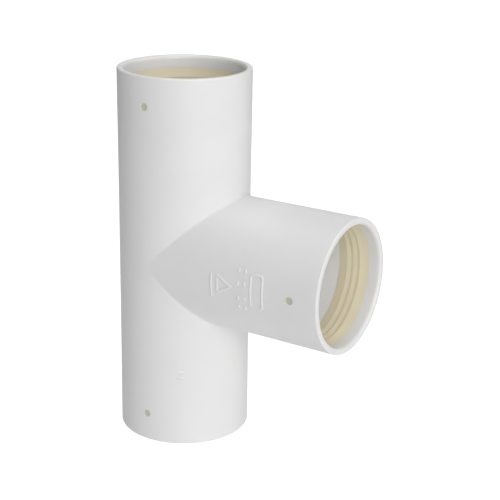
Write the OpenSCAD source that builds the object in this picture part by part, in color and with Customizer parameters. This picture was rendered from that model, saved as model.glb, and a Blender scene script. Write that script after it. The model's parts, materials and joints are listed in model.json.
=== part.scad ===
// Push-fit equal tee for plastic waste pipe. The rigid body is moulded in one piece: a run
// with a socket at each end, and a branch with a third socket. A soft ring with three lips is
// moulded into a groove in each socket. Each ring is fed through one small hole in the wall,
// which stays filled with the same soft material and shows outside as a round dot.
//
// The run stands along Z, the branch points along +X and the dots face -Y. The origin is the
// point where the two centre lines cross. All sizes are in millimetres.

/* [Pipe] */
// Outside diameter of the pipe that each socket takes
pipe_d = 32; // [28:0.5:40]
// Gap on each side of the pipe in the smooth part of a socket
pipe_gap = 0.15; // [0.05:0.05:0.4]

/* [Body] */
// Wall thickness at the mouths
wall = 1.85; // [1.7:0.05:3]
// Length of the run from mouth to mouth
run_length = 101.8; // [100:0.2:160]
// Distance from the run's centre line to the mouth of the branch
branch_reach = 52.3; // [50:0.1:90]
// Amount by which the outside is slimmer at the crossing than at the mouths
outer_drop = 0.1; // [0.05:0.05:0.4]
// Radius of the rounded outer edge of each mouth
outer_edge_r = 0.35; // [0.1:0.05:0.6]
// Width of the rounded inner edge of each mouth
inner_edge_width = 0.6; // [0.1:0.05:0.6]
// Depth of the rounded inner edge of each mouth
inner_edge_depth = 1; // [0.1:0.1:1.2]

/* [Sockets] */
// Depth of each socket, to the step that stops the pipe
socket_depth = 27; // [20:0.5:28]
// Width of the step that stops the pipe
stop_step = 1.15; // [0.6:0.05:2]

/* [Seals] */
// Depth from the mouth at which the soft ring begins
seal_start = 3.4; // [2:0.1:5]
// Length of the soft ring along the socket
seal_length = 8.9; // [8.5:0.1:12]
// Depth of the groove that holds the soft ring
groove_depth = 0.8; // [0.5:0.05:1]
// Number of lips on a ring
lip_count = 3; // [1:1:3]
// Depth of the first lip behind the front of the ring
first_lip = 2.6; // [1.5:0.1:2.8]
// Distance from one lip to the next
lip_pitch = 1.9; // [1.4:0.1:2]
// Height of a lip above the smooth wall of the socket
lip_height = 0.4; // [0.2:0.05:1]
// Depth of the dip behind each lip
lip_dip = 0.15; // [0.1:0.05:0.3]
// Diameter of the hole through which a ring is fed
feed_d = 2; // [0.8:0.1:2.4]

/* [Marks] */
// Height of the raised marks above the surface
mark_height = 0.2; // [0.1:0.05:0.4]
// Width of the lines of the raised marks
mark_line = 0.5; // [0.3:0.05:0.6]

/* [Hidden] */
$fn = 96;

run_half = run_length / 2;
socket_r = pipe_d / 2 + pipe_gap;
mouth_r = socket_r + wall;
run_middle_r = mouth_r - outer_drop;
// The branch is a hair slimmer at its root, so that its surface never runs along the run's.
branch_root_r = run_middle_r - 0.03;
waterway_r = socket_r - stop_step;
branch_waterway_r = waterway_r - 0.1;
// The outside is straight this far from the crossing, and widens from there to the mouth.
straight_length = mouth_r + 2;
groove_r = socket_r + groove_depth;
seal_end = seal_start + seal_length;
feed_depth = (seal_start + seal_end) / 2;
lip_r = socket_r - lip_height;
// The back of a lip falls away over this length into the dip before the next one.
lip_back = 0.7;
valley_r = lip_r + lip_dip;
// The dashes on the run sit this many degrees round from its front, towards the branch.
dash_turn = 31.7;
edge_steps = 6;
past = 1;

body_white = [0.93, 0.93, 0.92];
seal_cream = [0.86, 0.82, 0.66];

// Quarter turn of a rounded edge about [r, z], from the direction of a to a + 90 degrees.
function edge_arc(r, z, edge_r, from) =
    [for (i = [0:edge_steps]) let (a = from + 90 * i / edge_steps) [r + edge_r * cos(a), z + edge_r * sin(a)]];

// Half outline of a tube's outside: straight near the crossing, widest at a rounded mouth.
function outside_outline(reach, root_r) = concat(
    [[0, 0], [root_r, 0], [root_r, straight_length]],
    edge_arc(mouth_r - outer_edge_r, reach - outer_edge_r, outer_edge_r, 0),
    [[0, reach]]
);

// Inside surface of a ring: each lip slopes up from the mouth side and drops off behind.
function lip_outline() = [
    for (i = [0:lip_count - 1]) for (side = [0, 1])
        let (crest = seal_start + first_lip + i * lip_pitch)
        side == 0 ? [lip_r, -crest] : [valley_r, -(crest + lip_back)]
];

// Each socket's own frame has the mouth at z = 0 and the socket below it.
module at_top() {
    translate([0, 0, run_half]) children();
}

module at_bottom() {
    translate([0, 0, -run_half]) mirror([0, 0, 1]) children();
}

module at_branch() {
    translate([branch_reach, 0, 0]) rotate([0, 90, 0]) children();
}

module at_each_mouth() {
    at_top() children();
    at_bottom() children();
    at_branch() children();
}

// Round bar that points along -Y at the depth of the feed hole.
module feed_bar(from_r, to_r) {
    translate([0, -from_r, -feed_depth]) rotate([90, 0, 0]) cylinder(d = feed_d, h = to_r - from_r);
}

// Everything that is open inside one socket, in the socket's own frame.
module socket_space() {
    translate([0, 0, -socket_depth]) cylinder(r = socket_r, h = socket_depth + past);
    translate([0, 0, -seal_end]) cylinder(r = groove_r, h = seal_length);
    rotate_extrude() polygon(concat(
        [[0, past], [0, -inner_edge_depth], [socket_r, -inner_edge_depth]],
        [for (i = [1:edge_steps]) let (a = 90 * i / edge_steps)
            [socket_r + inner_edge_width * (1 - cos(a)), -inner_edge_depth * (1 - sin(a))]],
        [[socket_r + inner_edge_width, past]]
    ));
    feed_bar(socket_r, mouth_r + past);
}

// Bar, triangle, dots and blank frame, drawn as seen from the front with the branch to the right.
module branch_mark_outlines() {
    first_x = 20.7;
    first_low = -3.9;
    first_height = 6.3;
    triangle_x = 22.5;
    triangle_width = 5.3;
    triangle_height = 5.4;
    dot_width = 0.8;
    dot_height = 1;
    frame_x = 34.65;
    frame_width = 4;
    frame_height = 9.6;
    frame_corner = 1.2;
    translate([first_x, first_low]) square([mark_line, first_height]);
    difference() {
        polygon([
            [triangle_x, -triangle_height / 2],
            [triangle_x + triangle_width, 0],
            [triangle_x, triangle_height / 2]
        ]);
        polygon([
            [triangle_x + mark_line, -triangle_height / 2 + 1.8 * mark_line],
            [triangle_x + triangle_width - 2.2 * mark_line, 0],
            [triangle_x + mark_line, triangle_height / 2 - 1.8 * mark_line]
        ]);
    }
    for (x = [28.8, 30.7]) for (z = [-5.1, -2.5, 1.4, 4.9])
        translate([x, z - dot_height / 2]) square([dot_width, dot_height]);
    translate([frame_x, 0]) difference() {
        rounded_plate(frame_width, frame_height, frame_corner);
        rounded_plate(frame_width - 2 * mark_line, frame_height - 2 * mark_line, frame_corner - mark_line);
    }
}

// Flat plate with round corners, centred on the origin.
module rounded_plate(width, height, corner_r) {
    square([width - 2 * corner_r, height], center = true);
    square([width, height - 2 * corner_r], center = true);
    for (x = [-1, 1]) for (y = [-1, 1])
        translate([x * (width / 2 - corner_r), y * (height / 2 - corner_r)]) circle(r = corner_r);
}

// Two short dashes low on the run, a little to the right of its front.
module run_mark_outlines() {
    dash_width = 1.5;
    dash_height = 0.4;
    for (z = [-31.1, -29.3])
        translate([-dash_width / 2, z - dash_height / 2]) square([dash_width, dash_height]);
}

// Turns outlines into raised marks on the front of the tube that is passed as the child.
module raised_on(turn) {
    intersection() {
        rotate([0, 0, turn]) rotate([90, 0, 0]) linear_extrude(height = mouth_r + past) children(0);
        children(1);
    }
}

module body_outside() {
    for (side = [0, 1])
        mirror([0, 0, side]) rotate_extrude() polygon(outside_outline(run_half, run_middle_r));
    rotate([0, 90, 0]) rotate_extrude() polygon(outside_outline(branch_reach, branch_root_r));
    raised_on(0) {
        branch_mark_outlines();
        rotate([0, 90, 0]) cylinder(r = branch_root_r + mark_height, h = branch_reach - 4);
    }
    raised_on(dash_turn) {
        run_mark_outlines();
        cylinder(r = run_middle_r + mark_height, h = run_length - 8, center = true);
    }
}

module tee_body() {
    color(body_white) difference() {
        body_outside();
        cylinder(r = waterway_r, h = run_length + 2 * past, center = true);
        rotate([0, 90, 0]) cylinder(r = branch_waterway_r, h = branch_reach + past);
        at_each_mouth() socket_space();
    }
}

// Soft ring with the stub that fills its feed hole, in the socket's own frame.
module lip_seal() {
    stub_recess = 0.1;
    color(seal_cream) union() {
        rotate_extrude() polygon(concat(
            [[groove_r, -seal_start], [socket_r, -seal_start]],
            lip_outline(),
            [[socket_r, -seal_end], [groove_r, -seal_end]]
        ));
        feed_bar(socket_r + groove_depth / 2, mouth_r - outer_drop / 4 - stub_recess);
    }
}

module seal_top() {
    at_top() lip_seal();
}

module seal_bottom() {
    at_bottom() lip_seal();
}

module seal_branch() {
    at_branch() lip_seal();
}

tee_body();
seal_top();
seal_bottom();
seal_branch();
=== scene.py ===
"""Push-fit tee fitting: a white moulded body with a soft cream lip seal in each of its three sockets.

Shapes are worked out in millimetres in the row frame: the run stands along Z, the branch points along
+X, and the dots of the seals face -Y. Each of the three arms is a tube with its own frame: an angle
round the arm, measured from the front (-Y), a radius, and a height along the arm from the crossing.
"""

import json
import math

import bmesh
import bpy
import numpy as np
from mathutils import Matrix, Vector


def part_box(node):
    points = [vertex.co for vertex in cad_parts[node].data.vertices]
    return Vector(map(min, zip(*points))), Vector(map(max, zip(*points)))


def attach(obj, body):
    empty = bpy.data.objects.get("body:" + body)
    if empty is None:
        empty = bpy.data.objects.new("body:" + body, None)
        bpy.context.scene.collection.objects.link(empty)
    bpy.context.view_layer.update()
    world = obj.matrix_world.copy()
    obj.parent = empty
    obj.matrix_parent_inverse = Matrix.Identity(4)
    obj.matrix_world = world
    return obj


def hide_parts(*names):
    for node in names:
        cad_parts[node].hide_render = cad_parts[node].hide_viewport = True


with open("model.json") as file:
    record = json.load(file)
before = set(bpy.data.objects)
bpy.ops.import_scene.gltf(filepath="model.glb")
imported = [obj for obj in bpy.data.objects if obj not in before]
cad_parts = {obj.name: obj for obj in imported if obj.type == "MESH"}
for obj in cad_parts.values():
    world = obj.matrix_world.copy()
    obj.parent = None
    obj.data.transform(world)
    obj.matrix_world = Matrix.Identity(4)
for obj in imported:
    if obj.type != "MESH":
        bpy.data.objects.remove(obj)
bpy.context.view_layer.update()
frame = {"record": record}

# ---------------------------------------------------------------- sizes, in millimetres
MM = 0.001
PI = math.pi
QUARTER = PI / 2

body_low, body_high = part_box("tee_body")
ring_low, ring_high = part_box("seal_top")
mounts = {m["name"]: m for m in frame["record"]["mounts"]}

RUN_HALF = body_high.z / MM
BRANCH_REACH = body_high.x / MM
MOUTH_R = body_high.y / MM
SOCKET_R = mounts["socket_top"]["dims"]["r_mm"]
GROOVE_R = ring_high.y / MM
SEAL_START = RUN_HALF - ring_high.z / MM
SEAL_END = RUN_HALF - ring_low.z / MM

# outside of the body: straight up to STRAIGHT from the crossing, then widening to the mouth
OUTER_DROP = 0.1
MIDDLE_R = MOUTH_R - OUTER_DROP
STRAIGHT = MOUTH_R + 2
SEAM_FILLET = 1.0
OUTER_EDGE = 0.35
INNER_EDGE = 0.6
INNER_EDGE_DEPTH = 1.0

# line where the halves of the mould met
PARTING_WIDTH = 0.1
PARTING_FLANK = 0.1
PARTING_FOOT = PARTING_WIDTH / 2 + PARTING_FLANK
PARTING_HEIGHT = 0.02
PARTING_FADE = 1.5

# inside of the body: the stop has round corners and takes in a little of the walls above and below
SOCKET_DEPTH = 27.0
STOP_STEP = 1.15
STOP_INNER_ROUND = 0.25
STOP_OUTER_ROUND = 0.3
STOP_ABOVE = 0.4
STOP_BELOW = 0.5
WATER_R = SOCKET_R - STOP_STEP
WATER_FILLET = 0.4
WATER_START = WATER_R + 1.5

# seals: the wall leads in from the front edge to the first lip, and dips behind each lip
FEED_R = 1.0
FEED_EDGE = 0.05
FEED_DEPTH = (SEAL_START + SEAL_END) / 2
SEAL_EDGE = 0.06
LEAD_DEPTH = SEAL_START + 1.3
LEAD_DROP = 0.12
LEAD_ROUND = 3
LIPS = 3
LIP_R = SOCKET_R - 0.4
VALLEY_R = LIP_R + 0.15
FIRST_LIP = SEAL_START + 2.6
LIP_PITCH = 1.9
LIP_BACK = 0.7
LIP_ROUND = 0.8
STUB_RECESS = 0.1
STUB_HOLLOW = 0.15
# stub faces out past this radius (the stub's end) get the darker cream: partly a greyer stub colour,
# partly painted shade of its recessed hole
STUB_SHADE_FROM = GROOVE_R + 0.1
SEAL_GAP = 0.01
SEAL_R = GROOVE_R - SEAL_GAP

# marks: MARKED_REACH is how far round from the front they are drawn finely
MARK_HEIGHT = 0.2
MARK_LINE = 0.5
MARK_FLANK = 0.13
DASH_LINE = 0.35
DASH_TURN = math.radians(31.7)
MARKED_REACH = 6.6

# spacing of the mesh: the shares say where rings lie between a patch's border and its hole, and
# between the rim and the middle of a stub's end
TINY = 0.01
WELD = 0.002
FINE = 0.14
COARSE = 0.8
LONG = 3.0
ARC_STEPS = 6
RIM_ROWS = 4
EDGE_ROW = 0.15
FRONT_WALL_ROWS = (INNER_EDGE_DEPTH + EDGE_ROW, 1.8, 2.6, SEAL_START)
PATCH_ROW = 0.45
PATCH_COLUMNS = 13
PATCH_HALF = 4 * PATCH_ROW
PATCH_SHARES = (0.35, 0.6, 0.8, 0.93, 1)
STUB_SHARES = (1, 0.95, 0.85, 0.7, 0.5, 0.25)
OUTER_SEAM_ROWS = 7
INNER_SEAM_ROWS = 5
SEAM_EASE = 1.5
FILLET_STEPS = 8


# ---------------------------------------------------------------- the arms' own frames
def top_arm(radius, angle, height):
    return np.stack(np.broadcast_arrays(radius * np.sin(angle), -radius * np.cos(angle), height), -1)


def bottom_arm(radius, angle, height):
    return top_arm(radius, angle, height) * [1, 1, -1]


def branch_arm(radius, angle, height):
    return np.stack(np.broadcast_arrays(height, -radius * np.cos(angle), radius * np.sin(angle)), -1)


ARMS = {
    "top": (top_arm, RUN_HALF),
    "bottom": (bottom_arm, RUN_HALF),
    "branch": (branch_arm, BRANCH_REACH),
}


def on_tube(place, radius, flat):
    """Points of a tube from (across, height) pairs, as seen from the front."""
    return place(radius, np.arcsin(flat[:, 0] / radius), flat[:, 1])


# ---------------------------------------------------------------- mesh building
class Shell:
    """Collects the points and faces of one closed mesh."""

    def __init__(self):
        self.points = []
        self.faces = []
        self.count = 0

    def add(self, points):
        points = np.asarray(points, float).reshape(-1, 3)
        self.points.append(points)
        self.count += len(points)
        return np.arange(self.count - len(points), self.count)

    def grid(self, points, wrap=True, hole=None):
        """Adds rows by columns of points, without the quads in a hole (row, row, column, column)."""
        index = self.add(points).reshape(points.shape[:2])
        beside = np.roll(index, -1, axis=1)
        quads = np.stack([index[:-1], beside[:-1], beside[1:], index[1:]], -1)
        keep = np.ones(quads.shape[:2], bool)
        if not wrap:
            keep[:, -1] = False
        if hole:
            keep[hole[0]:hole[1], hole[2]:hole[3]] = False
        self.faces += quads[keep].tolist()
        return index

    def bridge(self, loop_a, loop_b):
        """Joins two closed loops of the same length."""
        for i in range(len(loop_a)):
            j = (i + 1) % len(loop_a)
            self.faces.append([loop_a[i], loop_a[j], loop_b[j], loop_b[i]])

    def shrink(self, loop, flat, circle, place):
        """Fills between a loop and the circle inside it with rings that lie on the surface."""
        for share in PATCH_SHARES:
            ring = self.add(place(flat + (circle - flat) * share))
            self.bridge(loop, ring)
            loop = ring
        return loop

    def close(self, loop, centre):
        """Closes a loop with a fan."""
        middle = self.add([centre])[0]
        for i in range(len(loop)):
            self.faces.append([loop[i], loop[(i + 1) % len(loop)], middle])

    def build(self, name, material, sharp_degrees=40):
        """Makes the object: welded, facing outwards, smooth, with its sharp edges kept."""
        mesh = bpy.data.meshes.new(name)
        mesh.from_pydata((np.concatenate(self.points) * MM).tolist(), [], self.faces)
        work = bmesh.new()
        work.from_mesh(mesh)
        bmesh.ops.remove_doubles(work, verts=work.verts, dist=WELD * MM)
        bmesh.ops.recalc_face_normals(work, faces=work.faces)
        work.to_mesh(mesh)
        work.free()
        mesh.shade_smooth()
        mesh.set_sharp_from_angle(angle=math.radians(sharp_degrees))
        mesh.materials.append(material)
        piece = bpy.data.objects.new(name, mesh)
        bpy.context.scene.collection.objects.link(piece)
        return piece


def loop_round(values, hole):
    """The values round the border of a hole in a grid, in order."""
    row_a, row_b, column_a, column_b = hole
    return np.concatenate([
        values[row_a, column_a:column_b],
        values[row_a:row_b, column_b],
        values[row_b, column_b:column_a:-1],
        values[row_b:row_a:-1, column_a],
    ])


def stations(stops, fine_stretches=()):
    """Places along a line: the stops, and steps of at most LONG between them.

    A fine stretch is (from, to, step) and has steps of about that length.
    """
    places = list(stops)
    for start, stop, step in fine_stretches:
        places += list(np.linspace(start, stop, max(1, round((stop - start) / step)) + 1))
    places = sorted(set(round(float(p), 4) for p in places))
    filled = [places[0]]
    for a, b in zip(places, places[1:]):
        if b - a > 2 * TINY:
            filled += list(np.linspace(a, b, math.ceil((b - a) / LONG) + 1)[1:])
    return np.array(filled)


def rounded_outline(corners):
    """An open outline from (x, y, radius) corners, each rounded by an arc that meets both its sides."""
    points = [np.array(c[:2], float) for c in corners]
    outline = [points[0]]
    for before, (x, y, radius), after in zip(points, corners[1:-1], points[2:]):
        corner = np.array([x, y], float)
        if radius == 0:
            outline.append(corner)
            continue
        back = (before - corner) / np.linalg.norm(before - corner)
        on = (after - corner) / np.linalg.norm(after - corner)
        half = math.acos(np.clip(back @ on, -1, 1)) / 2
        tangent = radius / math.tan(half)
        middle = corner + (back + on) / np.linalg.norm(back + on) * math.hypot(radius, tangent)
        start = corner + back * tangent - middle
        stop = corner + on * tangent - middle
        sweep = PI - 2 * half
        for i in range(ARC_STEPS + 1):
            a = math.sin((1 - i / ARC_STEPS) * sweep)
            b = math.sin(i / ARC_STEPS * sweep)
            outline.append(middle + (a * start + b * stop) / math.sin(sweep))
    outline.append(points[-1])
    return np.array(outline)


def edge_arc(radius, height, width, depth, start):
    """(radius, height) pairs along a quarter of an ellipse about one such pair."""
    turns = np.linspace(start, start + QUARTER, ARC_STEPS + 1)
    return [(radius + width * math.cos(t), height + depth * math.sin(t)) for t in turns]


# ---------------------------------------------------------------- angles round the arms
def half_turn(fine_reach, extra=()):
    """Angles from the front to the back: fine near the front and at the extra and parting angles."""
    front = np.arange(round(fine_reach / FINE) + 1) * FINE / MIDDLE_R
    parting_steps = PARTING_FOOT * np.array([-2, -1, -0.5, 0, 0.5, 1, 2])
    parting = QUARTER + parting_steps / MIDDLE_R
    stops = [front[-1], *extra, *parting, PI]
    angles = list(front)
    for a, b in zip(stops, stops[1:]):
        angles += list(np.linspace(a, b, math.ceil((b - a) * MIDDLE_R / COARSE) + 1)[1:])
    return np.array(angles)


def full_turn(left, right):
    """Angles all the way round, from one half turn for each side of the front."""
    return np.concatenate([-left[1:-1][::-1], right])


DASH_ANGLES = DASH_TURN + np.arange(-8, 9) * FINE / MIDDLE_R
MARKED_SIDE = half_turn(MARKED_REACH, DASH_ANGLES)
PLAIN_SIDE = half_turn(PATCH_COLUMNS * FINE)
RUN_ANGLES = full_turn(PLAIN_SIDE, MARKED_SIDE)
BRANCH_ANGLES = full_turn(MARKED_SIDE, MARKED_SIDE)
BODY_ANGLES = {"top": RUN_ANGLES, "bottom": RUN_ANGLES, "branch": BRANCH_ANGLES}
SEAL_ANGLES = full_turn(PLAIN_SIDE, PLAIN_SIDE)


def front_column(angles):
    return int(np.argmin(np.abs(angles)))


def feed_hole(angles, heights, feed_height):
    """The patch of a grid in which the feed hole is cut."""
    rows = np.flatnonzero(np.abs(heights - feed_height) < PATCH_HALF + TINY)
    front = front_column(angles)
    return rows[0], rows[-1], front - PATCH_COLUMNS, front + PATCH_COLUMNS


def flat_loop(angles, radii, heights, hole):
    """The (across, height) pairs round a hole, as seen from the front."""
    across = radii[:, None] * np.sin(angles[None, :])
    return loop_round(np.stack(np.broadcast_arrays(across, heights[:, None]), -1), hole)


def circle_at(turns, radius, height):
    return np.stack([radius * np.cos(turns), height + radius * np.sin(turns)], -1)


# ---------------------------------------------------------------- raised marks
def to_segment(x, y, a, b):
    """Distance from points to the line between a and b."""
    (ax, ay), (bx, by) = a, b
    share = ((x - ax) * (bx - ax) + (y - ay) * (by - ay)) / ((bx - ax) ** 2 + (by - ay) ** 2)
    t = np.clip(share, 0, 1)
    return np.hypot(x - ax - t * (bx - ax), y - ay - t * (by - ay))


def to_frame(x, y, centre, width, height, corner):
    """Distance from points to the outline of a rectangle with round corners."""
    across = np.abs(x - centre[0]) - width / 2 + corner
    along = np.abs(y - centre[1]) - height / 2 + corner
    inside = np.minimum(np.maximum(across, along), 0)
    return np.abs(np.hypot(np.maximum(across, 0), np.maximum(along, 0)) + inside - corner)


def ridge(distance, width, height, flank=MARK_FLANK):
    """Height of a raised line at a distance from its middle."""
    t = np.clip((width / 2 + flank - distance) / (2 * flank), 0, 1)
    return height * t * t * (3 - 2 * t)


def branch_marks(up, along):
    """Bar, triangle, dots and blank frame on the front of the branch."""
    bar = ((20.95, -3.65), (20.95, 2.15))
    triangle = [(22.8, -2.3), (27.0, 0.0), (22.8, 2.3)]
    dot_half = 0.3
    lines = [bar] + list(zip(triangle, triangle[1:] + triangle[:1]))
    for z in (-5.1, -2.5, 1.4, 4.9):
        lines += [((x, z - dot_half), (x, z + dot_half)) for x in (29.2, 31.1)]
    distance = to_frame(along, up, centre=(34.65, 0), width=3.5, height=9.1, corner=0.95)
    for a, b in lines:
        distance = np.minimum(distance, to_segment(along, up, a, b))
    return ridge(distance, MARK_LINE, MARK_HEIGHT)


def run_marks(across, down):
    """Two short dashes low on the run."""
    middle = DASH_TURN * MIDDLE_R
    dash_half = 0.55
    dashes = [((middle - dash_half, h), (middle + dash_half, h)) for h in (29.3, 31.1)]
    distance = np.minimum(*(to_segment(across, down, a, b) for a, b in dashes))
    return ridge(distance, DASH_LINE, MARK_HEIGHT)


# for each arm with marks: what raises them, and the heights between which its rows are fine
MARKS = {
    "branch": (branch_marks, STRAIGHT + 0.05, 36.9),
    "bottom": (run_marks, 28.9, 31.5),
}


# ---------------------------------------------------------------- body
def seam_start(kind, angles, radius):
    """Height at which an arm's own surface begins, above the seam or the middle of the run."""
    return radius * (np.abs(np.sin(angles)) if kind == "branch" else np.maximum(0, np.sin(angles)))


def outer_radius(height, reach):
    """The outside is straight near the crossing and widens a little towards the mouth."""
    share = np.clip((height - STRAIGHT) / (reach - OUTER_EDGE - STRAIGHT), 0, 1)
    return MIDDLE_R + (MOUTH_R - MIDDLE_R) * share


def parting_line(angles, height, start, end):
    """The faint ridge where the halves of the mould met. It fades out at the seam and at the mouth."""
    distance = np.abs(np.abs(angles) - QUARTER) * MIDDLE_R
    at_seam = np.where(start > TINY, np.clip((height - start) / PARTING_FADE, 0, 1), 1)
    at_mouth = np.clip((end - height) / PARTING_FADE, 0, 1)
    return ridge(distance, PARTING_WIDTH, PARTING_HEIGHT, PARTING_FLANK) * at_seam * at_mouth


def eased_rows(start, stop, count):
    """Rows from an uneven start up to a level stop, closer together at the start, without the stop."""
    shares = (np.arange(count) / count)[:, None] ** SEAM_EASE
    return start + (stop - start) * shares


def outside_heights(kind, angles, seam):
    """Rows by columns of heights from the seam to the mouth, fine at the feed hole and the marks."""
    reach = ARMS[kind][1]
    feed = reach - FEED_DEPTH
    fine = [(feed - PATCH_HALF, feed + PATCH_HALF, PATCH_ROW)]
    if kind in MARKS:
        fine.append((*MARKS[kind][1:], FINE))
    edge = reach - OUTER_EDGE
    rows = stations([STRAIGHT, edge - EDGE_ROW, edge], fine)
    seam_rows = eased_rows(seam, STRAIGHT, OUTER_SEAM_ROWS)
    return np.concatenate([seam_rows, np.repeat(rows[:, None], len(angles), 1)])


def build_outside(shell, kind):
    """The outer wall of one arm, from the seam to the rounded edge of the mouth."""
    place, reach = ARMS[kind]
    angles = BODY_ANGLES[kind]
    seam = seam_start(kind, angles, MIDDLE_R + SEAM_FILLET)
    height = outside_heights(kind, angles, seam)
    radius = outer_radius(height, reach) + parting_line(angles, height, seam, reach - OUTER_EDGE)
    if kind in MARKS:
        raise_marks = MARKS[kind][0]
        radius += raise_marks(angles * MIDDLE_R, height)

    feed = reach - FEED_DEPTH
    front = height[:, front_column(angles)]
    hole = feed_hole(angles, front, feed)
    outside = shell.grid(place(radius, angles, height), hole=hole)
    flat = flat_loop(angles, outer_radius(front, reach), front, hole)
    turns = np.arctan2(flat[:, 1] - feed, flat[:, 0])
    circle = circle_at(turns, FEED_R + FEED_EDGE, feed)
    border = loop_round(outside, hole)
    rim = shell.shrink(border, flat, circle, lambda f: on_tube(place, outer_radius(f[:, 1], reach), f))
    neck_r = outer_radius(feed, reach) - FEED_EDGE
    neck = shell.add(on_tube(place, neck_r, circle_at(turns, FEED_R, feed)))
    shell.bridge(rim, neck)
    return neck, turns


def mouth_section(reach):
    """(radius, height) from a mouth's outer edge, over its rim and down the socket to the waterway."""
    outer = edge_arc(MOUTH_R - OUTER_EDGE, reach - OUTER_EDGE, OUTER_EDGE, OUTER_EDGE, 0)
    rim_radii = np.linspace(MOUTH_R - OUTER_EDGE, SOCKET_R + INNER_EDGE, RIM_ROWS + 1)
    rim = [(r, reach) for r in rim_radii]
    inner = edge_arc(
        SOCKET_R + INNER_EDGE, reach - INNER_EDGE_DEPTH, INNER_EDGE, INNER_EDGE_DEPTH, QUARTER)
    front_wall = [(SOCKET_R, reach - d) for d in FRONT_WALL_ROWS]
    patch = (FEED_DEPTH - PATCH_HALF, FEED_DEPTH + PATCH_HALF, PATCH_ROW)
    groove = [(GROOVE_R, reach - d) for d in stations([SEAL_START, SEAL_END], [patch])]

    step = reach - SOCKET_DEPTH
    above, below = step + STOP_ABOVE, step - STOP_BELOW
    back_wall = [(SOCKET_R, reach - d) for d in stations([SEAL_END, reach - above])]
    stop = rounded_outline([
        (SOCKET_R, above, 0),
        (SOCKET_R, step, STOP_INNER_ROUND),
        (WATER_R, step, STOP_OUTER_ROUND),
        (WATER_R, below, 0),
    ])
    pipe = [(WATER_R, h) for h in stations([WATER_START, below])[::-1]]
    return np.array([
        *outer, *rim[1:], *inner[1:], *front_wall, *groove, *back_wall, *stop[1:-1], *pipe,
    ])


def build_inside(shell, kind, turns):
    """The rim, the socket with its groove, the step that stops the pipe, and the waterway."""
    place, reach = ARMS[kind]
    angles = BODY_ANGLES[kind]
    feed = reach - FEED_DEPTH
    radii, along = mouth_section(reach).T
    end = seam_start(kind, angles, WATER_R + WATER_FILLET)
    seam_rows = eased_rows(end, along[-1], INNER_SEAM_ROWS)[::-1]
    height = np.concatenate([np.repeat(along[:, None], len(angles), 1), seam_rows])
    radius = np.concatenate([radii, np.full(len(seam_rows), WATER_R)])
    in_groove = np.where(radius == GROOVE_R, height[:, 0], 0)
    hole = feed_hole(angles, in_groove, feed)
    inside = shell.grid(place(radius[:, None], angles, height), hole=hole)

    # rows run the other way here, so they are flipped to match the loop outside
    last = len(radius) - 1
    flipped = (last - hole[1], last - hole[0], hole[2], hole[3])
    flat = flat_loop(angles, radius[::-1], height[::-1, 0], flipped)
    circle = circle_at(turns, FEED_R, feed)
    border = loop_round(inside[::-1], flipped)
    return shell.shrink(border, flat, circle, lambda f: on_tube(place, GROOVE_R, f))


def build_seam(shell, side, radius, fillet):
    """The round corner between the branch and half of the run, as a rolling ball would leave it."""
    angle = MARKED_SIDE
    zero = np.zeros_like(angle)
    centre = (radius + fillet) * np.stack([np.sin(angle), -np.cos(angle), side * np.sin(angle)], -1)
    to_run = np.stack([-np.sin(angle), np.cos(angle), zero], -1)
    to_branch = np.stack([zero, np.cos(angle), -side * np.sin(angle)], -1)
    turn = np.arccos(np.clip((to_run * to_branch).sum(-1), -1, 1))
    share = np.linspace(0, 1, FILLET_STEPS + 1)[:, None]
    straight = turn < 1e-5
    sine = np.where(straight, 1, np.sin(turn))
    run_part = np.where(straight, 1 - share, np.sin((1 - share) * turn) / sine)
    branch_part = np.where(straight, share, np.sin(share * turn) / sine)
    direction = run_part[..., None] * to_run + branch_part[..., None] * to_branch
    shell.grid(centre + fillet * direction, wrap=False)


def build_body(material):
    shell = Shell()
    for kind in ARMS:
        neck, turns = build_outside(shell, kind)
        groove_rim = build_inside(shell, kind, turns)
        shell.bridge(neck, groove_rim)
    for side in (1, -1):
        build_seam(shell, side, MIDDLE_R, SEAM_FILLET)
        build_seam(shell, side, WATER_R, WATER_FILLET)
    return shell.build("white_body", material)


# ---------------------------------------------------------------- seals
def lip_section():
    """(radius, depth) of a seal's open side, from its back edge to its front edge."""
    front, back = SEAL_START + SEAL_GAP, SEAL_END - SEAL_GAP
    corners = [(SEAL_R, back, 0), (SOCKET_R, back, SEAL_EDGE)]
    for i in reversed(range(LIPS)):
        crest = FIRST_LIP + i * LIP_PITCH
        corners += [(VALLEY_R, crest + LIP_BACK, LIP_ROUND), (LIP_R, crest, LIP_ROUND)]
    corners.append((SOCKET_R - LEAD_DROP, LEAD_DEPTH, LEAD_ROUND))
    corners += [(SOCKET_R, front, SEAL_EDGE), (SEAL_R, front, 0)]
    return rounded_outline(corners)


def build_stub(shell, loop, place, turns, feed, end_r):
    """The stub in the feed hole, from its root's loop to its slightly hollow end."""
    stub_r = FEED_R - SEAL_GAP
    for share in STUB_SHARES:
        depth = STUB_HOLLOW * (1 - share ** 2)
        ring = shell.add(on_tube(place, end_r - depth, circle_at(turns, stub_r * share, feed)))
        shell.bridge(loop, ring)
        loop = ring
    shell.close(loop, place(end_r - STUB_HOLLOW, 0, feed))


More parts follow.
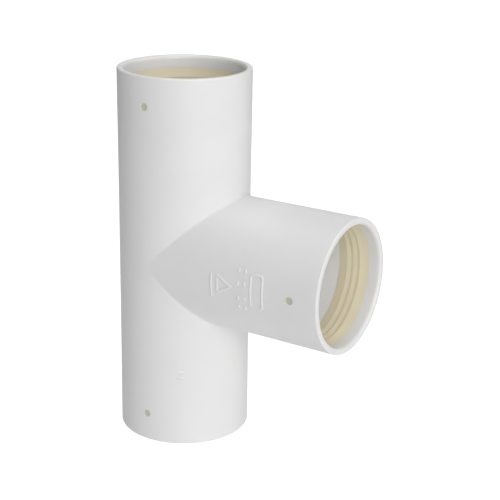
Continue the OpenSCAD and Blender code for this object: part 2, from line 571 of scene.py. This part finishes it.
def build_seal(kind, ring_material, stub_shade_material):
    """One closed ring that fills the groove, with three lips and the stub that fills the feed hole. The
    stub's end takes a second, darker cream that is partly painted shade.
    """
    place, reach = ARMS[kind]
    angles = SEAL_ANGLES
    feed = reach - FEED_DEPTH
    shell = Shell()
    patch = (FEED_DEPTH - PATCH_HALF, FEED_DEPTH + PATCH_HALF, PATCH_ROW)
    depths = stations([SEAL_START + SEAL_GAP, SEAL_END - SEAL_GAP], [patch])
    heights = reach - depths[::-1]
    hole = feed_hole(angles, heights, feed)
    back = shell.grid(place(SEAL_R, angles, heights[:, None]), hole=hole)
    flat = flat_loop(angles, np.full(len(heights), SEAL_R), heights, hole)
    turns = np.arctan2(flat[:, 1] - feed, flat[:, 0])
    circle = circle_at(turns, FEED_R - SEAL_GAP, feed)
    root = shell.shrink(loop_round(back, hole), flat, circle, lambda f: on_tube(place, SEAL_R, f))
    build_stub(shell, root, place, turns, feed, outer_radius(feed, reach) - STUB_RECESS)
    radii, along = lip_section().T
    shell.grid(place(radii[:, None], angles, reach - along[:, None]))

    seal = shell.build(kind + "_lip_seal", ring_material, sharp_degrees=50)
    seal.data.materials.append(stub_shade_material)
    # the stub's end faces take the second material, a darker, greyer cream: partly the stub's own
    # greyer colour, partly painted shade standing in for the shadow in the recessed feed hole
    for face in seal.data.polygons:
        if face.center.y < -STUB_SHADE_FROM * MM:
            face.material_index = 1
    return seal


# ---------------------------------------------------------------- materials
DRIFT_MM = 14
WAVE_MM, WAVE_DEPTH_MM = 7, 0.012
GRAIN_MM = 0.35


def moulded(name, shade, drift, rough, grain_depth_mm, softness, soft_mm):
    """Moulded plastic: a colour that drifts a little, fine grain and long shallow waves."""
    material = bpy.data.materials.new(name)
    material.use_nodes = True
    tree = material.node_tree
    shader = tree.nodes["Principled BSDF"]
    place = tree.nodes.new("ShaderNodeTexCoord")

    def noise(period_mm, detail):
        node = tree.nodes.new("ShaderNodeTexNoise")
        node.inputs["Scale"].default_value = 1 / (period_mm * MM)
        node.inputs["Detail"].default_value = detail
        tree.links.new(place.outputs["Object"], node.inputs["Vector"])
        return node.outputs["Fac"]

    def bump(height, depth_mm, below=None):
        node = tree.nodes.new("ShaderNodeBump")
        node.inputs["Distance"].default_value = depth_mm * MM
        tree.links.new(height, node.inputs["Height"])
        if below:
            tree.links.new(below, node.inputs["Normal"])
        return node.outputs["Normal"]

    ramp = tree.nodes.new("ShaderNodeValToRGB")
    darker, lighter = ramp.color_ramp.elements
    darker.position, lighter.position = 0.3, 0.7
    darker.color = (*(c * (1 - drift) for c in shade), 1)
    lighter.color = (*(min(1, c * (1 + drift)) for c in shade), 1)
    tree.links.new(noise(DRIFT_MM, 3), ramp.inputs["Fac"])
    tree.links.new(ramp.outputs["Color"], shader.inputs["Base Color"])

    spread = tree.nodes.new("ShaderNodeMapRange")
    spread.inputs["To Min"].default_value, spread.inputs["To Max"].default_value = rough
    grain = noise(GRAIN_MM, 4)
    tree.links.new(grain, spread.inputs["Value"])
    tree.links.new(spread.outputs["Result"], shader.inputs["Roughness"])
    waves = bump(noise(WAVE_MM, 1), WAVE_DEPTH_MM)
    tree.links.new(bump(grain, grain_depth_mm, waves), shader.inputs["Normal"])

    shader.inputs["Subsurface Weight"].default_value = softness
    shader.inputs["Subsurface Radius"].default_value = soft_mm
    shader.inputs["Subsurface Scale"].default_value = MM
    return material


white = moulded(
    "white_plastic", shade=(0.875, 0.873, 0.872), drift=0.012, rough=(0.30, 0.42),
    grain_depth_mm=0.004, softness=0.15, soft_mm=(1.2, 1.1, 1.0))
cream = moulded(
    "cream_seal", shade=(0.88, 0.80, 0.595), drift=0.03, rough=(0.42, 0.56),
    grain_depth_mm=0.006, softness=0.15, soft_mm=(1.5, 1.2, 0.7))
# darker, greyer copy of the cream for the stub's end: partly the stub's own greyer colour, partly
# painted shade standing in for the shadow in its recessed feed hole
grey_shaded_stub = moulded(
    "grey_stub_painted_shade", shade=(0.62, 0.62, 0.50), drift=0.04, rough=(0.5, 0.65),
    grain_depth_mm=0.02, softness=0.1, soft_mm=(1.0, 0.9, 0.6))

body = build_body(white)
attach(body, "root")
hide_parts("tee_body")
for kind in ARMS:
    seal = build_seal(kind, cream, grey_shaded_stub)
    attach(seal, "root")
    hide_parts("seal_" + kind)


# ---------------------------------------------------------------- camera
def towards(azimuth, elevation):
    """Direction from the tee. Azimuth 0 is in front of it, 90 degrees on the branch's side."""
    across = math.cos(elevation)
    return Vector((math.sin(azimuth) * across, -math.cos(azimuth) * across, math.sin(elevation)))


AZIMUTH, ELEVATION, ROLL = (math.radians(a) for a in (32.47, 18.82, 1.0))
DISTANCE = 352.0
AIM_RIGHT, AIM_UP = 18.02, -0.37


def build_camera():
    """The photograph's viewpoint. It looks along -back, at a point a little to the right of the run."""
    back = towards(AZIMUTH, ELEVATION)
    level = Vector((0, 0, 1)).cross(back).normalized()
    right = math.cos(ROLL) * level + math.sin(ROLL) * back.cross(level)
    up = back.cross(right)
    camera = bpy.data.objects.new("camera", bpy.data.cameras.new("camera"))
    camera.data.sensor_width = 36
    camera.data.lens = 91.55
    camera.data.clip_start = 0.01
    camera.data.clip_end = 20
    place = (right * AIM_RIGHT + up * AIM_UP + back * DISTANCE) * MM
    turn = Matrix((right, up, back)).transposed().to_4x4()
    camera.matrix_world = Matrix.Translation(place) @ turn
    bpy.context.scene.collection.objects.link(camera)
    return camera


bpy.context.scene.camera = build_camera()

# ---------------------------------------------------------------- floor and light
FLOOR_HALF = 3
FLOOR_SHADE = 0.35
FLOOR_SEEN = 0.95
GLOW_NEAR, GLOW_FAR = 0.41, 0.21
GLOW_NEAR_REACH, GLOW_FAR_REACH = 0.12, 0.5
SURROUND_SEEN = 1.0
SURROUND_LIGHT = 0.133
LIGHT_DISTANCE = 1.3
LIGHT_SIZE = 0.9


def camera_or_light(tree, for_camera, for_light):
    """One value where the camera sees the studio, and another where the studio lights the tee."""
    path = tree.nodes.new("ShaderNodeLightPath")
    choice = tree.nodes.new("ShaderNodeMix")
    choice.inputs["B"].default_value = for_camera
    if isinstance(for_light, float):
        choice.inputs["A"].default_value = for_light
    else:
        tree.links.new(for_light, choice.inputs["A"])
    tree.links.new(path.outputs["Is Camera Ray"], choice.inputs["Factor"])
    return choice.outputs["Result"]


def pale_floor():
    """Pale floor whose glow lights the tee from below, most strongly close to it."""
    material = bpy.data.materials.new("floor")
    material.use_nodes = True
    tree = material.node_tree
    shader = tree.nodes["Principled BSDF"]
    shader.inputs["Base Color"].default_value = (FLOOR_SHADE, FLOOR_SHADE, FLOOR_SHADE, 1)
    shader.inputs["Roughness"].default_value = 0.9
    shader.inputs["Emission Color"].default_value = (1, 1, 1, 1)
    place = tree.nodes.new("ShaderNodeTexCoord")
    away = tree.nodes.new("ShaderNodeVectorMath")
    away.operation = "LENGTH"
    tree.links.new(place.outputs["Object"], away.inputs[0])
    glow = tree.nodes.new("ShaderNodeMapRange")
    glow.interpolation_type = "SMOOTHSTEP"
    glow.inputs["From Min"].default_value = GLOW_NEAR_REACH
    glow.inputs["From Max"].default_value = GLOW_FAR_REACH
    glow.inputs["To Min"].default_value = GLOW_NEAR
    glow.inputs["To Max"].default_value = GLOW_FAR
    tree.links.new(away.outputs["Value"], glow.inputs["Value"])
    strength = camera_or_light(tree, FLOOR_SEEN, glow.outputs["Result"])
    tree.links.new(strength, shader.inputs["Emission Strength"])
    return material


def build_floor(height):
    mesh = bpy.data.meshes.new("floor")
    signs = ((-1, -1), (1, -1), (1, 1), (-1, 1))
    mesh.from_pydata([(x * FLOOR_HALF, y * FLOOR_HALF, height) for x, y in signs], [], [(0, 1, 2, 3)])
    mesh.materials.append(pale_floor())
    floor = bpy.data.objects.new("floor", mesh)
    bpy.context.scene.collection.objects.link(floor)
    return floor


def white_surround():
    world = bpy.data.worlds.new("studio")
    world.use_nodes = True
    tree = world.node_tree
    surround = tree.nodes["Background"]
    surround.inputs["Color"].default_value = (1, 1, 1, 1)
    strength = camera_or_light(tree, SURROUND_SEEN, SURROUND_LIGHT)
    tree.links.new(strength, surround.inputs["Strength"])
    return world


def soft_box(name, azimuth, elevation, watts):
    """A large square light aimed at the tee. Azimuth 0 is in front of it, 90 on the branch's side."""
    light = bpy.data.lights.new(name, "AREA")
    light.size = LIGHT_SIZE
    light.energy = watts
    place = towards(math.radians(azimuth), math.radians(elevation))
    lamp = bpy.data.objects.new(name, light)
    lamp.location = place * LIGHT_DISTANCE
    lamp.rotation_euler = place.to_track_quat("Z", "Y").to_euler()
    bpy.context.scene.collection.objects.link(lamp)


floor = build_floor(body_low.z)
bpy.context.scene.world = white_surround()
soft_box("key", 50, 20, 8.9)
soft_box("side", 110, 20, 2.8)
soft_box("top", 0, 89, 7.0)
soft_box("back", -150, 20, 1.4)
bpy.context.scene.view_settings.view_transform = "Standard"
